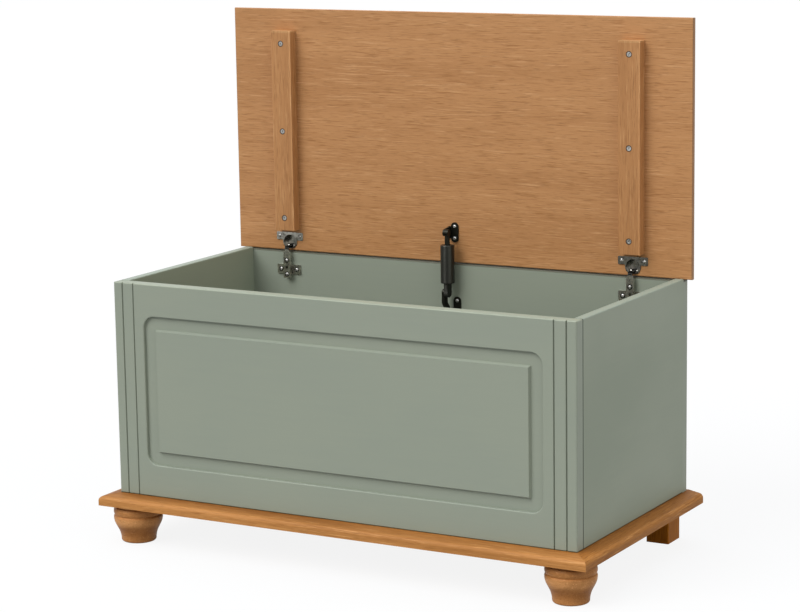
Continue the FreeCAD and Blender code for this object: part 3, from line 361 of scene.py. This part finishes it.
finishes = {
    "sagePaint": {
        "group": "paint", "values": paintLook, **paintRelief, "fixed": flatPaint,
        "marks": [deckShade, rimHighlight], "nodes": ["front_panel", "base_panel"]},
    "sagePaintBack": {
        "group": "paint", "values": paintLook, "shift": (0.3, 0.1, 0.2), **paintRelief, "fixed": flatPaint,
        "marks": [backShade], "nodes": ["back_panel"]},
    "sagePaintPost": {
        "group": "paint", "values": paintLook, "shift": (0.1, 0.3, 0.2), **paintRelief, "fixed": flatPaint,
        "marks": [sideJointShade, deckShade, rimHighlight], "nodes": ["left_corner_post", "right_corner_post"]},
    "sagePaintSide": {
        "group": "paint", "values": {"Paint": (0.256, 0.287, 0.226, 1), "Drift": 0.45}, "turn": grainAlongY,
        "shift": (0.4, 0.2, 0.1), **paintRelief, "fixed": flatPaint,
        "marks": [sideJointShade, deckShade, sideRimHighlight], "nodes": ["left_side_panel", "right_side_panel"]},
    "oakLidVeneer": {
        "group": "wood",
        "values": {"Pale": (0.57, 0.308, 0.138, 1), "Mid": (0.472, 0.231, 0.09, 1),
                   "Dark": (0.325, 0.14, 0.045, 1), "Drift": 0.32, "Lines": 0.85, "Pores": 0.45, "Shine": 0.45},
        **veneerRelief, "fixed": lacquer, "marks": lidEndShade, "nodes": ["lid_panel"]},
    "oakBatten": {
        "group": "wood",
        "values": {"Pale": (0.525, 0.278, 0.116, 1), "Mid": (0.44, 0.208, 0.077, 1),
                   "Dark": (0.335, 0.146, 0.048, 1), "Drift": 0.5, "Lines": 0.98, "Pores": 0.5, "Shine": 0.42},
        "turn": grainAlongZ, "shift": (0.7, 0.1, 0.3), **solidRelief, "fixed": lacquer,
        "marks": [battenSinkShade, battenEndHighlight] + battenEdgeHighlights, "nodes": ["left_lid_batten", "right_lid_batten"]},
    "oakPlinth": {
        "group": "wood",
        "values": {"Pale": (0.41, 0.184, 0.052, 1), "Mid": (0.325, 0.13, 0.03, 1),
                   "Dark": (0.18, 0.063, 0.0115, 1), "Drift": 0.7, "Lines": 0.65, "Pores": 0.4, "Shine": 0.42},
        "shift": (0.2, 0.9, 0.4), **veneerRelief, "fixed": plinthLacquer, "marks": [noseHighlight],
        "nodes": ["plinth_front_moulding", "plinth_rear_rail"]},
    # a darker copy of the plinth oak for the side mouldings: painted shade, with the grain turned along y
    "oakPlinthSideShaded": {
        "group": "wood",
        "values": {"Pale": (0.38, 0.158, 0.035, 1), "Mid": (0.3, 0.11, 0.019, 1),
                   "Dark": (0.145, 0.046, 0.006, 1), "Drift": 0.8, "Lines": 0.75, "Pores": 0.45, "Shine": 0.42},
        "turn": grainAlongY, "shift": (0.5, 0.3, 0.8), **veneerRelief, "fixed": plinthLacquer,
        "marks": [noseHighlight], "nodes": ["plinth_left_moulding", "plinth_right_moulding"]},
    "turnedOak": {
        "group": "wood",
        "values": {"Pale": (0.57, 0.272, 0.1, 1), "Mid": (0.47, 0.205, 0.064, 1),
                   "Dark": (0.27, 0.104, 0.026, 1), "Drift": 0.75, "Lines": 0.65, "Pores": 0.4, "Shine": 0.4},
        "turn": (0.1, 0.05, 0.4), "shift": (0.3, 0.6, 0.2), **solidRelief,
        "fixed": {"Specular IOR Level": 0.15}, "marks": [bellyHighlight, waistShade],
        "nodes": ["front_left_bun_foot", "front_right_bun_foot"]},
    "blockOak": {
        "group": "wood",
        "values": {"Pale": (0.5, 0.18, 0.02, 1), "Mid": (0.37, 0.125, 0.01, 1),
                   "Dark": (0.18, 0.05, 0.003, 1), "Drift": 0.6, "Lines": 0.7, "Pores": 0.4, "Shine": 0.42},
        "turn": grainAlongZ, "shift": (0.9, 0.2, 0.5), **solidRelief, "fixed": {"Specular IOR Level": 0.06},
        "nodes": ["rear_left_block_foot", "rear_right_block_foot"]},
    "bareBeech": {
        "group": "wood",
        "values": {"Pale": (0.6, 0.4, 0.22, 1), "Mid": (0.52, 0.33, 0.17, 1),
                   "Dark": (0.42, 0.25, 0.12, 1), "Drift": 0.5, "Lines": 0.4, "Pores": 0.2, "Shine": 0.55},
        "bump": 0.2, "depth": 0.0002, "nodes": ["corner_dowels"]},
    "nickelPlate": {
        "group": "metal",
        "values": {"Bright": (0.42, 0.405, 0.37, 1), "Dull": (0.15, 0.143, 0.126, 1), "Shine": 0.16},
        **metalRelief, "fixed": bareMetal,
        "nodes": ["left_hinge_cup", "right_hinge_cup", "left_hinge_pin", "right_hinge_pin"]},
    # a brighter copy of the nickel for the plates and arms: painted light for parts that mirror the dark inside
    # of the box
    "nickelArmLit": {
        "group": "metal",
        "values": {"Bright": (0.74, 0.715, 0.66, 1), "Dull": (0.3, 0.29, 0.262, 1), "Shine": 0.16},
        **metalRelief, "fixed": bareMetal, "marks": [neckShade] + hingeSinkShade,
        "nodes": ["left_hinge_plate", "right_hinge_plate", "left_hinge_arm", "right_hinge_arm"]},
    "zincPlate": {
        "group": "metal",
        "values": {"Bright": (0.46, 0.45, 0.43, 1), "Dull": (0.27, 0.265, 0.25, 1), "Shine": 0.18},
        "bump": 0.06, "depth": 0.0001, "fixed": bareMetal,
        "nodes": ["back_panel_screws", "plinth_screws", "foot_bolts", "batten_screws", "hinge_plate_screws",
                  "hinge_arm_screws", "hinge_cup_screws", "stay_lid_screws", "stay_base_screws"]},
    "blackBarrel": {
        "group": "black",
        "values": {"Black": (0.004, 0.004, 0.0035, 1), "Shine": 0.26, "Grain": (60.0, 60.0, 2400.0)},
        **filmRelief, "nodes": ["stay_barrel"],
        "fixed": {"Specular IOR Level": 0.5, "Specular Tint": (1.0, 1.0, 0.86, 1.0), "Anisotropic": 1.0,
                  "Anisotropic Rotation": 0.25}},
    "blackCoat": {
        "group": "black", "values": {"Black": (0.005, 0.005, 0.0034, 1), "Shine": 0.28},
        **filmRelief, "fixed": {"Specular IOR Level": 0.2, "Specular Tint": (1.0, 1.0, 0.8, 1.0)},
        "nodes": ["stay_lid_bracket", "stay_lid_pin", "stay_base_bracket", "stay_base_pin", "stay_rod",
                  "stay_lower_arm", "stay_elbow_rivet"]},
}


def placeGroup(tree, groupName, values, **inputs):
    placed = addNode(tree, "ShaderNodeGroup", {"node_tree": groups[groupName]}, **inputs)
    for label, value in values.items():
        placed.inputs[label].default_value = value
    return placed.outputs


# a material is a group's colour, roughness and bump on the object's own coordinates, with its marks
# of painted shade and painted highlight on the colour
def makeMaterial(name, look):
    material = bpy.data.materials.new(name)
    material.use_nodes = True
    tree = material.node_tree
    shader = tree.nodes["Principled BSDF"]
    place = addNode(tree, "ShaderNodeTexCoord").outputs["Object"]
    mapping = addNode(tree, "ShaderNodeMapping", None, Vector=place, Location=look.get("shift", (0, 0, 0)),
                      Rotation=look.get("turn", (0, 0, 0)))
    skin = placeGroup(tree, look["group"], look["values"], Vector=mapping.outputs[0])
    relief = addNode(tree, "ShaderNodeBump", None, Strength=look["bump"], Distance=look["depth"],
                     Height=skin["Height"])
    colour = skin["Color"]
    for mark in look.get("marks", ()):
        stamp = placeGroup(tree, mark["group"], mark["values"], Place=place)
        colour = blendColour(tree, stamp["Mask"], colour, mark["colour"], mark["way"])
    feed(tree, shader.inputs["Base Color"], colour)
    feed(tree, shader.inputs["Roughness"], skin["Roughness"])
    feed(tree, shader.inputs["Normal"], relief.outputs[0])
    for label, value in look.get("fixed", {}).items():
        shader.inputs[label].default_value = value
    return material


materials = {name: makeMaterial(name, look) for name, look in finishes.items()}
for name, look in finishes.items():
    for nodeName in look["nodes"]:
        slots = nodes[nodeName].data.materials
        slots.clear()
        slots.append(materials[name])
print("finishes given to", sum(len(look["nodes"]) for look in finishes.values()), "nodes")


# screws with a cross recess, sizes in mm

screwLook = {
    "panHead": {"headRadius": 3.2, "headHeight": 1.8, "dome": 2.6, "shankRadius": 1.75, "slotLength": 1.9,
                "slotHalf": 0.42, "slotDepth": 1.5},
    "flushHead": {"headRadius": 4.0, "headHeight": 0.0, "dome": 2.0, "shankRadius": 2.0, "slotLength": 2.3,
                  "slotHalf": 0.5, "slotDepth": 2.0},
    "headRings": 22, "columns": 80, "crowding": 0.8, "rimInset": 0.02,
    "slotSides": (1.25, 0.75), "slotEnd": 0.8, "slotFall": 0.4, "firstTwist": 0.5, "twistStep": 1.7,
    "mergeDistance": 1e-7, "mmPerMetre": 1000,
}
screwSets = {
    "batten_screws": {"head": "flushHead", "length": 30.0, "way": 1, "body": "lid",
                      "places": [(x, 191.9, z) for x in (-333, 333) for z in (503.6, 657.6, 811.6)]},
    "hinge_cup_screws": {"head": "panHead", "length": 13.0, "way": 1, "body": "lid",
                         "places": [(x, 208.3, 468.9) for x in (-353, -313, 313, 353)]},
    "stay_lid_screws": {"head": "panHead", "length": 13.0, "way": 1, "body": "lid",
                        "places": [(-0.3, 207.5, z) for z in (485.6, 506.4)]},
    "stay_base_screws": {"head": "panHead", "length": 13.0, "way": 1, "body": "carcass",
                         "places": [(5.3, 203.5, z) for z in (378.0, 344.0)]},
    "hinge_plate_screws": {"head": "panHead", "length": 13.0, "way": 1, "body": "carcass",
                           "places": [(x, 203.3, 410.0) for x in (-349, -317, 317, 349)]},
    "hinge_arm_screws": {"head": "panHead", "length": 6.0, "way": 1, "body": "carcass",
                         "places": [(x, 196.0, z) for x in (-333, 333) for z in (427.0, 402.0)]},
    "back_panel_screws": {"head": "flushHead", "length": 50.0, "way": -1, "body": "carcass",
                          "places": [(x, 221.5, z) for x in (-417, 417) for z in (145.0, 265.0, 385.0)]},
}


# smooth step: 3t squared less 2t cubed, with t going from 0 at low to 1 at high
def easeStep(value, low, high):
    t = np.clip((value - low) / (high - low), 0, 1)
    return t * t * (3 - 2 * t)


# one inside an arm of the cross: within half its width on one side and within its reach on the other
def crossArm(side, along, look):
    wide, narrow = screwLook["slotSides"]
    reach = look["slotLength"]
    within = easeStep(np.abs(side), look["slotHalf"] * wide, look["slotHalf"] * narrow)
    return within * easeStep(np.abs(along), reach, reach * screwLook["slotEnd"])


# screw surface: a turned outline (dome, rim, shank, point) over angle, its dome pressed in by a cross
# whose depth falls towards the ends of its arms
def screwGrid(look, length, twist):
    rings = screwLook["headRings"]
    headRadius, headHeight, shank = look["headRadius"], look["headHeight"], look["shankRadius"]
    angle = np.linspace(0, 2 * np.pi, screwLook["columns"], endpoint=False)
    across = np.linspace(0, 1, rings) ** screwLook["crowding"]
    rimRadius = [headRadius - screwLook["rimInset"]] if headHeight else []
    rimHeight = [0.0] if headHeight else []
    neck = 0.0 if headHeight else shank - headRadius
    radius = np.concatenate([headRadius * across, rimRadius, [shank, shank, 0.0]])[:, None]
    height = np.concatenate([headHeight * (1 - across ** look["dome"]), rimHeight,
                             [neck, shank - length, -length]])
    a = radius * np.cos(angle - twist)
    b = radius * np.sin(angle - twist)
    cross = np.maximum(crossArm(a, b, look), crossArm(b, a, look))
    cross = cross * (1 - screwLook["slotFall"] * radius / look["slotLength"])
    cross[rings:] = 0
    out = height[:, None] - look["slotDepth"] * np.clip(cross, 0, 1)
    return radius * np.cos(angle), radius * np.sin(angle), out


# quads between rings that close round the angle; the first and last ring shrink to a point and are
# merged there
def ringFaces(rows, columns):
    row, column = np.meshgrid(np.arange(rows - 1), np.arange(columns), indexing="ij")
    after = (column + 1) % columns
    here, below = row * columns, (row + 1) * columns
    return np.stack([here + column, here + after, below + after, below + column], axis=-1).reshape(-1, 4)


# poles merged, normals turned outwards, smooth shading
def tidyMesh(mesh):
    work = bmesh.new()
    work.from_mesh(mesh)
    bmesh.ops.remove_doubles(work, verts=work.verts, dist=screwLook["mergeDistance"])
    bmesh.ops.recalc_face_normals(work, faces=work.faces)
    work.to_mesh(mesh)
    work.free()
    mesh.polygons.foreach_set("use_smooth", np.ones(len(mesh.polygons), dtype=bool))
    mesh.update()


# each screw's grid stands on its place with its head to the front, or to the back where way is -1
def makeScrews(nodeName, spec):
    points, faces, start = [], [], 0
    for index, place in enumerate(spec["places"]):
        twist = screwLook["firstTwist"] + screwLook["twistStep"] * index
        u, v, out = screwGrid(screwLook[spec["head"]], spec["length"], twist)
        grid = np.stack([place[0] + u * spec["way"], place[1] - out * spec["way"], place[2] + v], axis=-1)
        points.append(grid.reshape(-1, 3) / screwLook["mmPerMetre"])
        faces.append(ringFaces(*u.shape) + start)
        start += u.size
    name = nodeName + ".crossed"
    mesh = bpy.data.meshes.new(name)
    mesh.from_pydata(np.concatenate(points).tolist(), [], np.concatenate(faces).tolist())
    tidyMesh(mesh)
    piece = bpy.data.objects.new(name, mesh)
    bpy.context.scene.collection.objects.link(piece)
    mesh.materials.append(materials["zincPlate"])
    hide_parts(nodeName)
    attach(piece, spec["body"])


for nodeName, spec in screwSets.items():
    makeScrews(nodeName, spec)
print("screw sets:", len(screwSets))


# stage: floor, world, lamps and camera

stageLook = {"floorSize": 60.0, "floorTone": (0.3, 0.3, 0.3, 1), "seenTone": (0.72, 0.72, 0.72, 1),
             "white": 0.88, "worldLight": 0.42}
plainWhite = (1, 1, 1, 1)


# camera, mirror and glass rays
def shownRays(tree):
    path = addNode(tree, "ShaderNodeLightPath").outputs
    mirrored = calc(tree, "MAXIMUM", path["Is Glossy Ray"], path["Is Transmission Ray"])
    return calc(tree, "MAXIMUM", path["Is Camera Ray"], mirrored)


def mixShader(tree, factor, a, b):
    return addNode(tree, "ShaderNodeMixShader", None, i0=factor, i1=a.outputs[0], i2=b.outputs[0])


# a flat sheet that is nearly white where it is seen and keeps the shadow, and grey to the light
# that it sends on
def makeFloor():
    half = stageLook["floorSize"] / 2
    mesh = bpy.data.meshes.new("paleFloor")
    corners = [(-half, -half, 0), (half, -half, 0), (half, half, 0), (-half, half, 0)]
    mesh.from_pydata(corners, [], [(0, 1, 2, 3)])
    floor = bpy.data.objects.new("paleFloor", mesh)
    bpy.context.scene.collection.objects.link(floor)
    material = bpy.data.materials.new("paleFloor")
    material.use_nodes = True
    tree = material.node_tree
    tree.nodes.clear()
    matt = addNode(tree, "ShaderNodeBsdfDiffuse", None, Color=stageLook["floorTone"])
    seen = addNode(tree, "ShaderNodeBsdfDiffuse", None, Color=stageLook["seenTone"])
    glow = addNode(tree, "ShaderNodeEmission", None, Color=plainWhite, Strength=1.0)
    pale = mixShader(tree, stageLook["white"], seen, glow)
    mix = mixShader(tree, shownRays(tree), matt, pale)
    addNode(tree, "ShaderNodeOutputMaterial", None, Surface=mix.outputs[0])
    mesh.materials.append(material)


def makeWorld():
    world = bpy.data.worlds.new("studio")
    bpy.context.scene.world = world
    world.use_nodes = True
    tree = world.node_tree
    tree.nodes.clear()
    soft = addNode(tree, "ShaderNodeBackground", None, Color=plainWhite, Strength=stageLook["worldLight"])
    white = addNode(tree, "ShaderNodeBackground", None, Color=plainWhite, Strength=1.0)
    mix = mixShader(tree, shownRays(tree), soft, white)
    addNode(tree, "ShaderNodeOutputWorld", None, Surface=mix.outputs[0])


# wide soft lamps far off: toLamp points from the object to the lamp, spread is its width in degrees
lampLook = {
    "keyLamp": {"toLamp": (-0.45, -0.75, 0.85), "strength": 2.3, "spread": 40.0, "tint": (1, 1, 1)},
    "topLamp": {"toLamp": (-0.1, 0.05, 1.0), "strength": 1.45, "spread": 70.0, "tint": (0.91, 1.0, 1.15)},
    "fillLamp": {"toLamp": (0.9, -0.35, 0.3), "strength": 0.87, "spread": 60.0, "tint": (1.0, 1.0, 0.93)},
}


def makeLamps():
    for name, look in lampLook.items():
        data = bpy.data.lights.new(name, "SUN")
        data.energy = look["strength"]
        data.color = look["tint"]
        data.angle = math.radians(look["spread"])
        lamp = bpy.data.objects.new(name, data)
        bpy.context.scene.collection.objects.link(lamp)
        lamp.matrix_world = Vector(look["toLamp"]).to_track_quat("Z", "Y").to_matrix().to_4x4()


# angles in radians; pitch is measured from the level
cameraLook = {"place": (2.05674, -3.64215, 1.16678), "yaw": 0.51261, "pitch": -0.18076, "roll": -0.01523,
              "focalPixels": 2573.6, "imageWidth": 800, "sensorWidth": 36.0}


def makeCamera():
    data = bpy.data.cameras.new("photoCamera")
    data.sensor_fit = "HORIZONTAL"
    data.sensor_width = cameraLook["sensorWidth"]
    data.lens = data.sensor_width * cameraLook["focalPixels"] / cameraLook["imageWidth"]
    camera = bpy.data.objects.new("photoCamera", data)
    bpy.context.scene.collection.objects.link(camera)
    aim = Matrix.Rotation(cameraLook["yaw"], 4, "Z")
    aim = aim @ Matrix.Rotation(quarter + cameraLook["pitch"], 4, "X")
    aim = aim @ Matrix.Rotation(cameraLook["roll"], 4, "Z")
    camera.matrix_world = Matrix.Translation(cameraLook["place"]) @ aim
    bpy.context.scene.camera = camera


makeFloor()
makeWorld()
makeLamps()
makeCamera()
bpy.context.scene.view_settings.view_transform = "Standard"
print("stage set")
